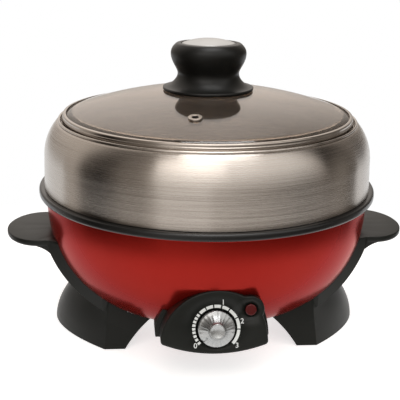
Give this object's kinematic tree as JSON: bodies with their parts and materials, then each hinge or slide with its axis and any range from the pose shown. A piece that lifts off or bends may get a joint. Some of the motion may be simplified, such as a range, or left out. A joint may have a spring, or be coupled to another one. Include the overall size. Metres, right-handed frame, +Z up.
{
  "type": "multicooker",
  "caption": "Round countertop multicooker: red bowl on black handle feet, lift-out pan, tall steel ring, domed glass lid with knob, front thermostat dial.",
  "frame": {"origin": "on the floor under the centre line of the round bowl, pan, ring and lid", "axes": "+Z up, -Y towards the user and the dial, +X to the user's right, through the right handle"},
  "size_m": [0.346, 0.2929, 0.2466],
  "materials": {
    "red_enamel": "gloss",
    "brushed_steel": "brushed",
    "pan_coating": "satin",
    "tinted_glass": "polished",
    "black_plastic": "satin",
    "polished_steel": "polished",
    "silver_plastic": "metallic paint",
    "rubber": "matt",
    "zinc_steel": "zinc plated",
    "aluminium": "satin",
    "element_steel": "oxidised",
    "copper": "satin copper",
    "red_lens": "clear red",
    "neon": "clear",
    "ceramic": "matt",
    "thermostat_body": "matt",
    "gland_plastic": "matt",
    "wire_brown": "matt",
    "wire_blue": "matt",
    "wire_green": "matt"
  },
  "bodies": {
    "base": {"base_plate": "zinc_steel", "base_screws": "zinc_steel", "box_screws": "zinc_steel", "bracket_screws": "zinc_steel", "capillary": "copper", "clip_screws": "zinc_steel", "control_box": "black_plastic", "control_cover": "black_plastic", "cord_gland": "gland_plastic", "cover_screws": "zinc_steel", "earth_screw": "zinc_steel", "earth_wire": "wire_green", "foot_pads": "rubber", "foot_screws": "zinc_steel", "fuse_lead": "wire_blue", "handle_screws": "zinc_steel", "heater_plate": "aluminium", "heater_wire": "wire_brown", "heating_element": "element_steel", "housing_bowl": "red_enamel", "lamp_lens": "red_lens", "left_handle_foot": "black_plastic", "live_wire": "wire_brown", "neon_lamp": "neon", "neutral_wire": "wire_blue", "reflector_tray": "aluminium", "right_handle_foot": "black_plastic", "sensor_bulb": "copper", "sensor_clip": "zinc_steel", "standoff_screws": "zinc_steel", "standoffs": "zinc_steel", "terminal_block": "ceramic", "terminal_screw": "zinc_steel", "thermal_fuse": "ceramic", "thermostat": "thermostat_body", "thermostat_bracket": "zinc_steel"},
    "cooking_pan": {"inner_pan": "pan_coating"},
    "ring": {"steam_ring": "brushed_steel"},
    "lid": {"lid_glass": "tinted_glass", "lid_rim": "brushed_steel", "vent_eyelet": "polished_steel", "knob": "black_plastic", "knob_cap": "polished_steel", "knob_seal": "rubber", "inner_seal": "rubber", "steel_washer": "polished_steel", "knob_screw": "polished_steel"},
    "dial_knob": {"dial": "silver_plastic", "dial_shaft": "polished_steel"}
  },
  "joints": [
    {"name": "pan_lift", "type": "slide", "parent": "base", "child": "cooking_pan", "axis": [0, 0, 1], "range_m": [0, 0.15]},
    {"name": "ring_lift", "type": "slide", "parent": "cooking_pan", "child": "ring", "axis": [0, 0, 1], "range_m": [0, 0.12]},
    {"name": "lid_lift", "type": "slide", "parent": "ring", "child": "lid", "axis": [0, 0, 1], "range_m": [0, 0.12]},
    {"name": "dial_turn", "type": "hinge", "parent": "base", "child": "dial_knob", "pos_m": [-0.0025, -0.1379, 0.0466], "axis": [0, 0.9836, -0.1805], "range_deg": [0, 264]}
  ]
}
